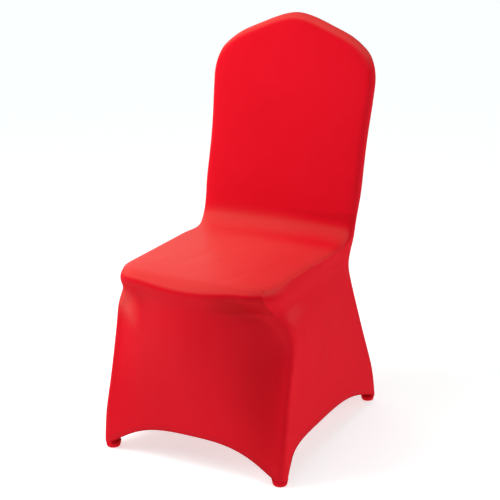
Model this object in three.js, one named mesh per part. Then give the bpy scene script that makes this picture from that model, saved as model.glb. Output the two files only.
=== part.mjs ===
// A stretch-knit chair cover, hollow, as it fits over an arched-back chair.
// Millimetres. X runs to the sitter's left, Y to the rear, Z up, and the soles stand at Z = 0.
//
// The cover is sewn from eight pieces of one sheet:
//   front_panel        the front skirt, the seat and the front of the back, in one strip
//   back_panel         the rear skirt and the rear of the back
//   side_panel_*       the two side skirts, up to the seat's edges
//   foot_pocket_*      four cups that the chair's feet stand in
//
// Every panel is a grid of rows and columns on the fitted form. Neighbours share the line of their seam.
import * as THREE from 'three';

// The cloth
const SHEET = 2;
const SEAM_GAP = 0.6;
const CLOTH = { color: 0xd0121f, roughness: 0.55, metalness: 0 };

// The seat: the height of the seam round its edge, and how its top swells and meets the back
const SEAT = { edgeZ: 425, edgeRound: 18, swell: 4, swellRun: 150, riseRun: 48 };

// The back: a slab with a round edge, leaning to the rear, joined to the seat at joinZ
const BACK = {
  joinZ: 454,
  topZ: 935,
  joinY: 225,
  topY: 330,
  bow: 8,
  halfThick: 18,
  halfThickAtJoin: 15,
  thickenRun: 110,
};

// Right half of the back's outline, from the seat up to the crown
const BACK_OUTLINE = [
  { x: 204, z: BACK.joinZ },
  { x: 201, z: 555 },
  { x: 201, z: 655 },
  { x: 206, z: 755 },
  { x: 206, z: 804 },
  { x: 188, z: 847 },
  { x: 146, z: 883 },
  { x: 96, z: 905 },
  { x: 49, z: 924 },
  { x: 0, z: BACK.topZ },
];
const SHOULDER_ROW = 5;

// The foot pockets: radii at the rim and at the sole
const POCKET = { height: 14, heelRound: 2.5, steps: 24 };
const FRONT_POCKET = { rim: 17, sole: 14 };
const REAR_POCKET = { rim: 16, sole: 13 };

// The skirt's front corners at heights above the floor: half of the width, reach to the front,
// corner radius and how far the middle bows out beyond the corners
const FRONT_CORNERS = [
  { z: 0, half: 226, reach: 214, round: FRONT_POCKET.rim, bow: 0 },
  { z: POCKET.height, half: 226, reach: 214, round: FRONT_POCKET.rim, bow: 0 },
  { z: 200, half: 220, reach: 178, round: 18, bow: 43 },
  { z: SEAT.edgeZ - 105, half: 221, reach: 153, round: 24, bow: 82 },
  { z: SEAT.edgeZ - 80, half: 212, reach: 170, round: 32, bow: 62 },
  { z: SEAT.edgeZ - 50, half: 194, reach: 190, round: 48, bow: 42 },
  { z: SEAT.edgeZ - 26, half: 194, reach: 219, round: 70, bow: 18 },
  { z: SEAT.edgeZ - 15, half: 191, reach: 225, round: 72, bow: 14 },
  { z: SEAT.edgeZ, half: 185, reach: 216, round: 68, bow: 8 },
];

// The skirt's rear corners, whose radii differ across and along the seat
const REAR_CORNERS = [
  { z: 0, half: 229, reach: 320, across: REAR_POCKET.rim, along: REAR_POCKET.rim },
  { z: POCKET.height, half: 229, reach: 319, across: REAR_POCKET.rim, along: REAR_POCKET.rim },
  { z: 220, half: 200, reach: 278, across: 16, along: 22 },
  { z: SEAT.edgeZ - 60, half: 182, reach: 245, across: 13, along: 32 },
  { z: BACK.joinZ, half: 206, reach: BACK.joinY + 12, across: 8, along: 40 },
];

// The hem's arches between the feet: height of the top, flatness of the top, steepness at the
// feet, and how far the top lies off the middle (1 is in the middle, less is towards the front)
const HEM = {
  front: { top: 77, flatness: 3.1, steepness: 0.8, lean: 1 },
  side: { top: 78, flatness: 4.1, steepness: 0.8, lean: 0.6 },
  rear: { top: 80, flatness: 2.9, steepness: 0.9, lean: 1 },
};

// Where the stretched cloth evens out the sharp turn between the seat and the back
const EASING = { passes: 8, strength: 0.6, reach: 25, fade: 60, startY: 120, endY: 170 };

// The grids
const CORNER_STEPS = 3;
const COLUMNS = 22;
const SIDE_COLUMNS = 20;
const BACK_ROWS = 19;
const OUTLINE_STEPS = 180;
const SKIRT_ROWS = [0, 0.035, 0.09, 0.18, 0.3, 0.43, 0.56, 0.68, 0.785, 0.865, 0.912, 0.945, 0.974, 1];
const TOP_ROW = SKIRT_ROWS.length - 1;

// Edges that meet in a corner wider than this run on as one edge
const STRAIGHT = THREE.MathUtils.degToRad(150);

const ease = t => THREE.MathUtils.smoothstep(t, 0, 1);

// A smooth curve through a table's column that never overshoots its values
function atHeight(table, column, z) {
  const last = table.length - 1;
  const height = THREE.MathUtils.clamp(z, table[0].z, table[last].z);
  const step = i => table[i + 1].z - table[i].z;
  const slope = i => (table[i + 1][column] - table[i][column]) / step(i);
  const tangent = i => {
    if (i === 0) return slope(0);
    if (i === last) return slope(last - 1);
    const below = slope(i - 1);
    const above = slope(i);
    if (below * above <= 0) return 0;
    const lower = step(i - 1);
    const upper = step(i);
    return 3 * (lower + upper) / ((2 * upper + lower) / below + (upper + 2 * lower) / above);
  };
  let i = 0;
  while (i < last - 1 && height >= table[i + 1].z) i += 1;
  const t = (height - table[i].z) / step(i);
  return (1 + 2 * t) * (1 - t) ** 2 * table[i][column]
    + t * (1 - t) ** 2 * step(i) * tangent(i)
    + t * t * (3 - 2 * t) * table[i + 1][column]
    + t * t * (t - 1) * step(i) * tangent(i + 1);
}

function lengthOf(line) {
  return line.slice(1).reduce((sum, point, i) => sum + point.distanceTo(line[i]), 0);
}

// The point at a share of a line's length
function pointAlong(line, share) {
  let left = share * lengthOf(line);
  for (let i = 1; i < line.length; i += 1) {
    const step = line[i].distanceTo(line[i - 1]);
    if (left <= step || i === line.length - 1) {
      return line[i - 1].clone().lerp(line[i], left / step);
    }
    left -= step;
  }
  return line[0].clone();
}

// The shortest distance from a point to a line of points, all in one plane
function distanceTo(line, point) {
  const span = new THREE.Line3();
  const nearest = new THREE.Vector3();
  let best = Infinity;
  for (let i = 1; i < line.length; i += 1) {
    span.set(line[i - 1], line[i]);
    span.closestPointToPoint(point, true, nearest);
    best = Math.min(best, nearest.distanceTo(point));
  }
  return best;
}

// Column places from one foot to the next, closer together near the feet
function spread(t) {
  return 0.4 * t + 0.3 * (1 - Math.cos(Math.PI * t));
}

function hemZ(side, place) {
  const { top, flatness, steepness, lean } = HEM[side];
  const arch = Math.max(0, 1 - Math.abs(2 * place ** lean - 1) ** flatness);
  return POCKET.height + (top - POCKET.height) * arch ** (1 / steepness);
}

function onCorner(centre, radii, degrees) {
  const angle = THREE.MathUtils.degToRad(degrees);
  return new THREE.Vector3(centre.x + radii.x * Math.cos(angle), centre.y + radii.y * Math.sin(angle), 0);
}

// The right front and right rear corners of the skirt's section at a height
function cornersAt(z) {
  const front = name => atHeight(FRONT_CORNERS, name, z);
  const rear = name => atHeight(REAR_CORNERS, name, z);
  const frontRadii = new THREE.Vector2(front('round'), front('round'));
  const rearRadii = new THREE.Vector2(rear('across'), rear('along'));
  return {
    frontRadii,
    rearRadii,
    front: new THREE.Vector2(front('half') - frontRadii.x, frontRadii.y - front('reach')),
    rear: new THREE.Vector2(rear('half') - rearRadii.x, rear('reach') - rearRadii.y),
    bow: front('bow'),
  };
}

// A point of the right side skirt, from the front seam to the rear seam
function sidePoint(column, z) {
  const at = cornersAt(z);
  const toRear = column - SIDE_COLUMNS + CORNER_STEPS;
  let point = null;
  if (column <= CORNER_STEPS) {
    point = onCorner(at.front, at.frontRadii, -45 + 45 * column / CORNER_STEPS);
  } else if (toRear >= 0) {
    point = onCorner(at.rear, at.rearRadii, 45 * toRear / CORNER_STEPS);
  } else {
    const place = spread((column - CORNER_STEPS) / (SIDE_COLUMNS - 2 * CORNER_STEPS));
    const start = onCorner(at.front, at.frontRadii, 0);
    point = start.lerp(onCorner(at.rear, at.rearRadii, 0), place);
  }
  return point.setZ(z);
}

// A point of the front or the rear skirt, from the left seam to the right seam
function endPoint(side, column, z) {
  const at = cornersAt(z);
  const fromSeam = Math.min(column, COLUMNS - column);
  const hand = column * 2 >= COLUMNS ? 1 : -1;
  const outward = side === 'front' ? -1 : 1;
  const centre = side === 'front' ? at.front : at.rear;
  const radii = side === 'front' ? at.frontRadii : at.rearRadii;
  if (fromSeam <= CORNER_STEPS) {
    const point = onCorner(centre, radii, outward * (45 + 45 * fromSeam / CORNER_STEPS));
    return point.set(hand * point.x, point.y, z);
  }
  const place = spread((fromSeam - CORNER_STEPS) / (COLUMNS - 2 * CORNER_STEPS));
  const across = 1 - 2 * place;
  const bow = side === 'front' ? at.bow * (1 - across ** 2) ** 1.25 : 0;
  return new THREE.Vector3(hand * centre.x * across, centre.y + outward * (radii.y + bow), z);
}

// The seam along the seat's side edge climbs to the back in its last stretch
function seatSeamZ(y) {
  const endY = sidePoint(SIDE_COLUMNS, BACK.joinZ).y;
  const climb = Math.max(0, 1 - (endY - y) / SEAT.riseRun);
  return SEAT.edgeZ + (BACK.joinZ - SEAT.edgeZ) * climb ** 2;
}

function skirt(side, columns, topZ, pointAt) {
  return SKIRT_ROWS.map(share => Array.from({ length: columns + 1 }, (_, column) => {
    const step = (column - CORNER_STEPS) / (columns - 2 * CORNER_STEPS);
    const low = hemZ(side, spread(THREE.MathUtils.clamp(step, 0, 1)));
    return pointAt(column, low + (topZ(column) - low) * share);
  }));
}

// The whole outline of the back, in its own plane, from the right foot of the slab to the left
function backOutline() {
  const right = BACK_OUTLINE.map(({ x, z }) => new THREE.Vector3(x, 0, z));
  const left = right.slice(0, -1).reverse().map(({ x, z }) => new THREE.Vector3(-x, 0, z));
  return new THREE.CatmullRomCurve3([...right, ...left]).getPoints(OUTLINE_STEPS);
}

// Distances from the outline that step evenly round the slab's edge
function edgeStep(i) {
  return BACK.halfThick * (1 - Math.cos(Math.PI / 2 * i / CORNER_STEPS));
}

// The grid of the back in its own plane, each point with its distance from the outline
function backPlane() {
  const outline = backOutline();
  const rightHalf = outline.slice(0, OUTLINE_STEPS / 2 + 1);
  const mark = new THREE.Vector3(BACK_OUTLINE[SHOULDER_ROW].x, 0, BACK_OUTLINE[SHOULDER_ROW].z);
  const gaps = rightHalf.map(point => point.distanceTo(mark));
  const shoulder = gaps.indexOf(Math.min(...gaps));
  const side = rightHalf.slice(0, shoulder + 1);
  const top = rightHalf.slice(shoulder);
  const sideLength = lengthOf(side);
  const topLength = lengthOf(top);
  const start = side[0];
  const turn = top[0];
  const crown = top[top.length - 1];
  const foot = new THREE.Vector3(0, 0, start.z);
  const half = COLUMNS / 2;
  const inFrom = (column, length) => {
    if (column <= CORNER_STEPS) return edgeStep(column);
    const share = (column - CORNER_STEPS) / (half - CORNER_STEPS);
    return THREE.MathUtils.lerp(edgeStep(CORNER_STEPS), length, share);
  };
  const upShare = row => {
    const below = BACK_ROWS - row;
    if (below <= CORNER_STEPS) return 1 - edgeStep(below) / sideLength;
    return row / (BACK_ROWS - CORNER_STEPS) * (1 - edgeStep(CORNER_STEPS) / sideLength);
  };
  const plane = [];
  for (let row = 0; row <= BACK_ROWS; row += 1) {
    const v = upShare(row);
    const edge = pointAlong(side, v);
    const middle = foot.clone().lerp(crown, v);
    const right = [];
    for (let column = 0; column <= half; column += 1) {
      const tip = pointAlong(top, inFrom(column, topLength) / topLength);
      const base = start.clone().lerp(foot, inFrom(column, start.x) / start.x);
      const u = THREE.MathUtils.lerp(1 - base.x / start.x, 1 - tip.x / turn.x, v);
      const flat = start.clone().lerp(turn, v).lerp(middle, u);
      const point = edge.clone().lerp(middle, u).add(base.lerp(tip, v)).sub(flat);
      const onEdge = column === 0 || row === BACK_ROWS;
      right.push({ point, inside: onEdge ? 0 : distanceTo(outline, point) });
    }
    const left = right.slice(0, half).map(({ point, inside }) => {
      const mirrored = new THREE.Vector3(-point.x, 0, point.z);
      return { point: mirrored, inside };
    });
    plane.push([...left, ...right.reverse()]);
  }
  return plane;
}

// The front or the rear face of the back, rounded towards its outline
function backFace(plane, outward) {
  return plane.map(row => row.map(({ point, inside }) => {
    const up = (point.z - BACK.joinZ) / (BACK.topZ - BACK.joinZ);
    const middle = THREE.MathUtils.lerp(BACK.joinY, BACK.topY, up) + BACK.bow * 4 * up * (1 - up);
    const grown = ease((point.z - BACK.joinZ) / BACK.thickenRun);
    const thick = THREE.MathUtils.lerp(BACK.halfThickAtJoin, BACK.halfThick, grown);
    const left = 1 - Math.min(inside, BACK.halfThick) / BACK.halfThick;
    const round = Math.sqrt(1 - left ** 2);
    return new THREE.Vector3(point.x, middle + outward * thick * round, point.z);
  }));
}

// The height of the seat's top at a distance inside its seam
function seatTopZ(inside) {
  const run = SEAT.edgeRound * Math.SQRT1_2;
  const turn = Math.max(0, 1 - inside / run) * Math.SQRT1_2;
  const drop = SEAT.edgeRound * (Math.SQRT1_2 - Math.sqrt(1 - turn ** 2));
  const swell = SEAT.swell * (1 - (1 - Math.min(1, inside / SEAT.swellRun)) ** 2);
  return SEAT.edgeZ - drop + swell;
}

// The seat, from the front seam line to the foot of the back
function seatGrid(frontEdge, sideEdge, backEdge) {
  const flatten = ({ x, y }) => new THREE.Vector3(x, y, 0);
  const rightSeam = [...frontEdge.slice(COLUMNS / 2), ...sideEdge.slice(1)].map(flatten);
  const leftSeam = rightSeam.slice(1).reverse().map(({ x, y }) => new THREE.Vector3(-x, y, 0));
  const seam = [...leftSeam, ...rightSeam];
  return sideEdge.map((edge, row) => frontEdge.map((lead, column) => {
    if (row === 0) return lead.clone();
    const base = backEdge[column];
    if (row === SIDE_COLUMNS) return base.clone();
    const hand = column * 2 >= COLUMNS ? 1 : -1;
    if (column % COLUMNS === 0) return new THREE.Vector3(hand * edge.x, edge.y, edge.z);
    const back = row / SIDE_COLUMNS;
    const share = THREE.MathUtils.lerp(lead.x / frontEdge[COLUMNS].x, base.x / backEdge[COLUMNS].x, back);
    const forward = THREE.MathUtils.lerp(
      lead.y - frontEdge[COLUMNS].y,
      base.y - backEdge[COLUMNS].y,
      back,
    );
    const point = new THREE.Vector3(edge.x * share, edge.y + forward, 0);
    const flat = seatTopZ(distanceTo(seam, point));
    const climb = Math.max(0, 1 - (base.y - point.y) / SEAT.riseRun);
    return point.setZ(THREE.MathUtils.lerp(flat, BACK.joinZ, climb ** 2));
  }));
}

// One number for each place of the form: points that panels share have the same number
function numbered(panels) {
  const known = new Map();
  const numbers = panels.map(grid => grid.map(row => row.map(point => {
    const key = point.toArray().map(value => value.toFixed(3)).join(' ');
    if (!known.has(key)) known.set(key, known.size);
    return known.get(key);
  })));
  return { numbers, count: known.size };
}

// Even out the turn between the seat and the back, as stretched cloth does
function easeTurn(panels) {
  const { numbers, count } = numbered(panels);
  const points = Array(count);
  const neighbours = Array.from({ length: count }, () => new Set());
  const join = (a, b) => {
    neighbours[a].add(b);
    neighbours[b].add(a);
  };
  panels.forEach((grid, panel) => grid.forEach((row, i) => row.forEach((point, j) => {
    const number = numbers[panel][i][j];
    points[number] = point.clone();
    if (i > 0) join(number, numbers[panel][i - 1][j]);
    if (j > 0) join(number, numbers[panel][i][j - 1]);
  })));
  const pull = points.map(({ y, z }) => {
    const near = 1 - ease((Math.abs(z - BACK.joinZ) - EASING.reach) / EASING.fade);
    return EASING.strength * near * THREE.MathUtils.smoothstep(y, EASING.startY, EASING.endY);
  });
  for (let pass = 0; pass < EASING.passes; pass += 1) {
    const means = neighbours.map(set => {
      const mean = new THREE.Vector3();
      set.forEach(number => mean.add(points[number]));
      return mean.divideScalar(set.size);
    });
    points.forEach((point, number) => point.lerp(means[number], pull[number]));
  }
  panels.forEach((grid, panel) => grid.forEach((row, i) => row.forEach((point, j) => {
    point.copy(points[numbers[panel][i][j]]);
  })));
}

// The outward direction at every point, the same for all panels that meet there
function outwardAt(panels) {
  const { numbers, count } = numbered(panels);
  const sums = Array.from({ length: count }, () => new THREE.Vector3());
  panels.forEach((grid, panel) => {
    for (let i = 1; i < grid.length; i += 1) {
      for (let j = 1; j < grid[0].length; j += 1) {
        const rising = grid[i][j].clone().sub(grid[i - 1][j - 1]);
        const falling = grid[i][j - 1].clone().sub(grid[i - 1][j]);
        const normal = rising.cross(falling);
        const around = numbers[panel];
        [around[i][j], around[i - 1][j], around[i][j - 1], around[i - 1][j - 1]].forEach(number => {
          sums[number].add(normal);
        });
      }
    }
  });
  return numbers.map(grid => grid.map(row => row.map(number => sums[number].clone().normalize())));
}

// How far an edge point stays back from its seam
function backFromSeam(grid, i, j) {
  const lastRow = grid.length - 1;
  const lastColumn = grid[0].length - 1;
  const away = new THREE.Vector3();
  const turnIn = (inner, before, after) => {
    const tangent = after.clone().sub(before).normalize();
    const inward = inner.clone().sub(grid[i][j]);
    inward.addScaledVector(tangent, -inward.dot(tangent));
    away.addScaledVector(inward.normalize(), SEAM_GAP / 2);
  };
  const nextRow = grid[i === 0 ? 1 : lastRow - 1];
  const nextColumn = j === 0 ? 1 : lastColumn - 1;
  const onRowEdge = i === 0 || i === lastRow;
  const onColumnEdge = j === 0 || j === lastColumn;
  if (onRowEdge && onColumnEdge) {
    const up = nextRow[j].clone().sub(grid[i][j]);
    const along = grid[i][nextColumn].clone().sub(grid[i][j]);
    if (up.angleTo(along) > STRAIGHT) {
      turnIn(nextRow[nextColumn], nextRow[j], grid[i][nextColumn]);
      return away;
    }
  }
  if (onRowEdge) {
    const inner = nextRow[j];
    turnIn(inner, grid[i][Math.max(j - 1, 0)], grid[i][Math.min(j + 1, lastColumn)]);
  }
  if (onColumnEdge) {
    const inner = grid[i][nextColumn];
    turnIn(inner, grid[Math.max(i - 1, 0)][j], grid[Math.min(i + 1, lastRow)][j]);
  }
  return away;
}

// A sheet of cloth on a grid: a thin box, its grid of faces laid on the form
function sheet(grid, outward) {
  const rows = grid.length - 1;
  const columns = grid[0].length - 1;
  const geometry = new THREE.BoxGeometry(1, 1, 1, columns, rows, 1);
  const place = geometry.getAttribute('position');
  for (let n = 0; n < place.count; n += 1) {
    const i = Math.round((place.getY(n) + 0.5) * rows);
    const j = Math.round((place.getX(n) + 0.5) * columns);
    const point = grid[i][j].clone();
    point.addScaledVector(outward[i][j], Math.sign(place.getZ(n)) * SHEET / 2);
    point.add(backFromSeam(grid, i, j));
    place.setXYZ(n, point.x, point.y, point.z);
  }
  geometry.computeVertexNormals();
  return geometry;
}

// A foot pocket: a round cup with a flat sole that widens to its rim, under the skirt's corner
function pocketGeometry({ rim, sole }) {
  const outer = sole + SHEET / 2;
  const inner = sole - SHEET / 2;
  const top = POCKET.height - SEAM_GAP / 2;
  const chamfer = POCKET.heelRound * (1 - Math.SQRT1_2);
  const profile = [
    [0, 0],
    [outer - POCKET.heelRound, 0],
    [outer - chamfer, chamfer],
    [outer, POCKET.heelRound],
    [outer, top],
    [inner, top],
    [inner, SHEET],
    [0, SHEET],
  ].map(([x, y]) => new THREE.Vector2(x, y));
  const geometry = new THREE.LatheGeometry(profile, POCKET.steps);
  geometry.rotateX(Math.PI / 2);
  const place = geometry.getAttribute('position');
  for (let n = 0; n < place.count; n += 1) {
    const widened = 1 + (rim / sole - 1) * place.getZ(n) / top;
    place.setXY(n, place.getX(n) * widened, place.getY(n) * widened);
  }
  geometry.computeVertexNormals();
  return geometry;
}

function pieceOf(name, geometry) {
  const mesh = new THREE.Mesh(geometry, new THREE.MeshStandardMaterial(CLOTH));
  mesh.name = name;
  return mesh;
}

function makePanels() {
  const front = skirt('front', COLUMNS, () => SEAT.edgeZ, (column, z) => endPoint('front', column, z));
  const rear = skirt('rear', COLUMNS, () => BACK.joinZ, (column, z) => endPoint('rear', column, z));
  const sideTop = column => {
    if (column === SIDE_COLUMNS) return BACK.joinZ;
    return seatSeamZ(sidePoint(column, SEAT.edgeZ).y);
  };
  const side = skirt('side', SIDE_COLUMNS, sideTop, sidePoint);
  const plane = backPlane();
  const backFront = backFace(plane, -1);
  const backRear = backFace(plane, 1);
  side[TOP_ROW][SIDE_COLUMNS].copy(backFront[0][COLUMNS]);
  rear[TOP_ROW].forEach((point, column) => point.copy(backRear[0][column]));
  const seat = seatGrid(front[TOP_ROW], side[TOP_ROW], backFront[0]);
  const mirrored = side.map(row => row.map(({ x, y, z }) => new THREE.Vector3(-x, y, z)).reverse());
  const panels = {
    front_panel: [...front, ...seat.slice(1), ...backFront.slice(1)],
    back_panel: [...rear, ...backRear.slice(1)].map(row => row.reverse()),
    side_panel_right: side,
    side_panel_left: mirrored,
  };
  easeTurn(Object.values(panels));
  return panels;
}

function makePockets() {
  const low = cornersAt(POCKET.height);
  const spots = [
    { end: 'front', centre: low.front, size: FRONT_POCKET },
    { end: 'rear', centre: low.rear, size: REAR_POCKET },
  ];
  return spots.flatMap(({ end, centre, size }) => ['left', 'right'].map(hand => {
    const side = hand === 'right' ? 1 : -1;
    const pocket = pieceOf(`foot_pocket_${end}_${hand}`, pocketGeometry(size));
    pocket.position.set(side * centre.x, centre.y, 0);
    return pocket;
  }));
}

function makeCover() {
  const panels = makePanels();
  const outward = outwardAt(Object.values(panels));
  const cover = new THREE.Group();
  Object.entries(panels).forEach(([name, grid], i) => {
    cover.add(pieceOf(name, sheet(grid, outward[i])));
  });
  makePockets().forEach(pocket => cover.add(pocket));
  const middle = new THREE.Box3().setFromObject(cover, true).getCenter(new THREE.Vector3());
  cover.position.y = -middle.y;
  return cover;
}

const chairCover = makeCover();

export default chairCover;
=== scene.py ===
"""A fitted elastic cover of an arched-back banquet chair: knit panels, hems and foot pockets."""

import logging
import math
from dataclasses import dataclass, field
from enum import Enum
from typing import Iterable, Sequence

import bmesh
import bpy
from mathutils import Matrix, Vector
from mathutils.bvhtree import BVHTree
from mathutils.kdtree import KDTree


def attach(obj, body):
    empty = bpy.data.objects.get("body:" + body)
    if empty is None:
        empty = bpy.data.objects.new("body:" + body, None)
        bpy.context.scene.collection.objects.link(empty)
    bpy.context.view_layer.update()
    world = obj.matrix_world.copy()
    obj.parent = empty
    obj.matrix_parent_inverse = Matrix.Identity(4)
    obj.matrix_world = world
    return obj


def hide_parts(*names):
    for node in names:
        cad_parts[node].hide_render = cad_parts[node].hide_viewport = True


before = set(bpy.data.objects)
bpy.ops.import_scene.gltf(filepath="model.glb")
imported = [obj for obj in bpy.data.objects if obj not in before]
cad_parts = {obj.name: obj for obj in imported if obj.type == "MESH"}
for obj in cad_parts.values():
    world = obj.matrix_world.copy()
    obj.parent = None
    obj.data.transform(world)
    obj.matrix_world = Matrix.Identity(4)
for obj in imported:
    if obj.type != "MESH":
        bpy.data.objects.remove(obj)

LOG = logging.getLogger("cover")
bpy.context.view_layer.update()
BODY = "root"
MILLIMETRE = 0.001
CAD_SHEET = 2.0 * MILLIMETRE

# Points of the CAD mesh that lie closer than this are one point
WELD = 0.01 * MILLIMETRE

# How far off the cloth a fold still reaches along its facing axis, how much of that way counts,
# and how many of its widths it reaches sideways
FOLD_REACH = 0.06
FOLD_REACH_SHARE = 0.15
FOLD_WIDTHS = 3.0


class Side(Enum):
    """The way a panel looks out of the cover."""

    FRONT = (0.0, -1.0, 0.0)
    REAR = (0.0, 1.0, 0.0)
    RIGHT = (1.0, 0.0, 0.0)
    LEFT = (-1.0, 0.0, 0.0)


@dataclass(frozen=True)
class KnitFinish:
    """Smooth elastic knit, its fine wales and courses along the panel's weave map.

    The colour drifts a little towards the deep one. Vertex attributes lay three more over it:
    a paler painted highlight, a deeper painted shade, and the dark one of an edge.
    """

    name: str = "red_stretch_knit"
    colour: tuple[float, float, float] = (0.78, 0.0062, 0.0185)
    deep_colour: tuple[float, float, float] = (0.72, 0.0050, 0.0150)
    edge_colour: tuple[float, float, float] = (0.40, 0.0020, 0.009)
    # The paler colour of a painted highlight and the deeper colour of a painted shade
    painted_highlight_colour: tuple[float, float, float] = (0.80, 0.0520, 0.048)
    painted_shade_colour: tuple[float, float, float] = (0.50, 0.0030, 0.007)
    roughness: float = 0.46
    gloss: float = 0.06
    sheen: float = 0.004
    sheen_roughness: float = 0.45
    sheen_tint: tuple[float, float, float] = (1.0, 0.55, 0.50)
    drift_scale: float = 5.0
    drift_detail: float = 3.0
    drift_range: tuple[float, float] = (0.40, 0.75)
    drift_most: float = 0.55
    wales_per_metre: float = 900.0
    courses_share: float = 0.8
    waver: float = 0.6
    waver_detail: float = 1.0
    relief: float = 0.10
    relief_depth: float = 0.3 * MILLIMETRE

    def material(self) -> bpy.types.Material:
        """Make the knit's material.

        Returns:
            The material, which reads the panel's weave map and the three attributes.
        """
        material = bpy.data.materials.new(self.name)
        material.use_nodes = True
        tree = material.node_tree
        tree.nodes.clear()
        output = tree.nodes.new("ShaderNodeOutputMaterial")
        cloth = tree.nodes.new("ShaderNodeBsdfPrincipled")
        tree.links.new(cloth.outputs["BSDF"], output.inputs["Surface"])
        cloth.inputs["Roughness"].default_value = self.roughness
        cloth.inputs["Sheen Weight"].default_value = self.sheen
        cloth.inputs["Sheen Roughness"].default_value = self.sheen_roughness
        cloth.inputs["Sheen Tint"].default_value = (*self.sheen_tint, 1.0)
        cloth.inputs["Specular IOR Level"].default_value = self.gloss

        weave = tree.nodes.new("ShaderNodeUVMap")
        weave.uv_map = "weave"
        place = tree.nodes.new("ShaderNodeTexCoord")

        drift = tree.nodes.new("ShaderNodeTexNoise")
        drift.inputs["Scale"].default_value = self.drift_scale
        drift.inputs["Detail"].default_value = self.drift_detail
        tree.links.new(place.outputs["Object"], drift.inputs["Vector"])
        shade = tree.nodes.new("ShaderNodeMix")
        shade.data_type = "RGBA"
        shade.inputs["A"].default_value = (*self.colour, 1.0)
        shade.inputs["B"].default_value = (*self.deep_colour, 1.0)
        spread = tree.nodes.new("ShaderNodeMapRange")
        spread.inputs["From Min"].default_value = self.drift_range[0]
        spread.inputs["From Max"].default_value = self.drift_range[1]
        spread.inputs["To Max"].default_value = self.drift_most
        tree.links.new(drift.outputs["Fac"], spread.inputs["Value"])
        tree.links.new(spread.outputs["Result"], shade.inputs["Factor"])

        # Painted highlight and painted shade laid into the knit's colour by their vertex
        # attributes
        paler = self._laid_over(tree, shade, "painted_highlight", self.painted_highlight_colour)
        deeper = self._laid_over(tree, paler, "painted_shade", self.painted_shade_colour)
        darkened = self._laid_over(tree, deeper, "edge", self.edge_colour)
        tree.links.new(darkened.outputs["Result"], cloth.inputs["Base Color"])

        wales = self._ribs(tree, weave, "X", 1.0)
        courses = self._ribs(tree, weave, "Y", self.courses_share)
        ribs = tree.nodes.new("ShaderNodeMath")
        ribs.operation = "MULTIPLY"
        tree.links.new(wales.outputs["Fac"], ribs.inputs[0])
        tree.links.new(courses.outputs["Fac"], ribs.inputs[1])
        bump = tree.nodes.new("ShaderNodeBump")
        bump.inputs["Strength"].default_value = self.relief
        bump.inputs["Distance"].default_value = self.relief_depth
        tree.links.new(ribs.outputs["Value"], bump.inputs["Height"])
        tree.links.new(bump.outputs["Normal"], cloth.inputs["Normal"])
        return material

    @staticmethod
    def _laid_over(
        tree: bpy.types.NodeTree,
        under: bpy.types.ShaderNode,
        attribute: str,
        colour: tuple[float, float, float],
    ) -> bpy.types.ShaderNode:
        """Lay a colour over another by a vertex attribute.

        Args:
            tree: The material's node tree.
            under: The node that gives the colour below.
            attribute: The attribute that says how much of the new colour there is.
            colour: The new colour.

        Returns:
            The mix node.
        """
        share = tree.nodes.new("ShaderNodeAttribute")
        share.attribute_name = attribute
        mix = tree.nodes.new("ShaderNodeMix")
        mix.data_type = "RGBA"
        mix.inputs["B"].default_value = (*colour, 1.0)
        tree.links.new(share.outputs["Fac"], mix.inputs["Factor"])
        tree.links.new(under.outputs["Result"], mix.inputs["A"])
        return mix

    def _ribs(
        self,
        tree: bpy.types.NodeTree,
        weave: bpy.types.ShaderNode,
        direction: str,
        share: float,
    ) -> bpy.types.ShaderNode:
        """Make the knit's fine ribs one way.

        Args:
            tree: The material's node tree.
            weave: The node that gives the panel's weave map.
            direction: The axis of the map that the ribs follow each other along.
            share: How many ribs there are, as a share of the wales.

        Returns:
            The wave node.
        """
        wave = tree.nodes.new("ShaderNodeTexWave")
        wave.wave_type = "BANDS"
        wave.bands_direction = direction
        wave.wave_profile = "SIN"
        # The wave node runs through 20 radians for each unit of its scale
        wave.inputs["Scale"].default_value = self.wales_per_metre * share * math.tau / 20.0
        wave.inputs["Distortion"].default_value = self.waver
        wave.inputs["Detail"].default_value = self.waver_detail
        tree.links.new(weave.outputs["UV"], wave.inputs["Vector"])
        return wave


@dataclass(frozen=True)
class ThreadFinish:
    """Polyester sewing thread, a shade deeper than the knit."""

    name: str = "sewing_thread"
    colour: tuple[float, float, float] = (0.42, 0.006, 0.014)
    roughness: float = 0.42
    sheen: float = 0.3
    twist: float = 900.0
    shaded_share: float = 0.8
    relief: float = 0.3
    relief_depth: float = 0.1 * MILLIMETRE

    def material(self) -> bpy.types.Material:
        """Make the thread's material.

        Returns:
            The material, with a fine twist over Object coordinates.
        """
        material = bpy.data.materials.new(self.name)
        material.use_nodes = True
        tree = material.node_tree
        thread = tree.nodes["Principled BSDF"]
        thread.inputs["Roughness"].default_value = self.roughness
        thread.inputs["Sheen Weight"].default_value = self.sheen
        place = tree.nodes.new("ShaderNodeTexCoord")
        twist = tree.nodes.new("ShaderNodeTexNoise")
        twist.inputs["Scale"].default_value = self.twist
        tree.links.new(place.outputs["Object"], twist.inputs["Vector"])
        shade = tree.nodes.new("ShaderNodeMix")
        shade.data_type = "RGBA"
        shade.inputs["A"].default_value = (*self.colour, 1.0)
        shade.inputs["B"].default_value = (*(self.shaded_share * c for c in self.colour), 1.0)
        tree.links.new(twist.outputs["Fac"], shade.inputs["Factor"])
        tree.links.new(shade.outputs["Result"], thread.inputs["Base Color"])
        bump = tree.nodes.new("ShaderNodeBump")
        bump.inputs["Strength"].default_value = self.relief
        bump.inputs["Distance"].default_value = self.relief_depth
        tree.links.new(twist.outputs["Fac"], bump.inputs["Height"])
        tree.links.new(bump.outputs["Normal"], thread.inputs["Normal"])
        return material


class Facing(Enum):
    """The axis that the cloth under a fold faces along."""

    SIDEWAYS = 0
    ENDWAYS = 1
    UP = 2


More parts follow.
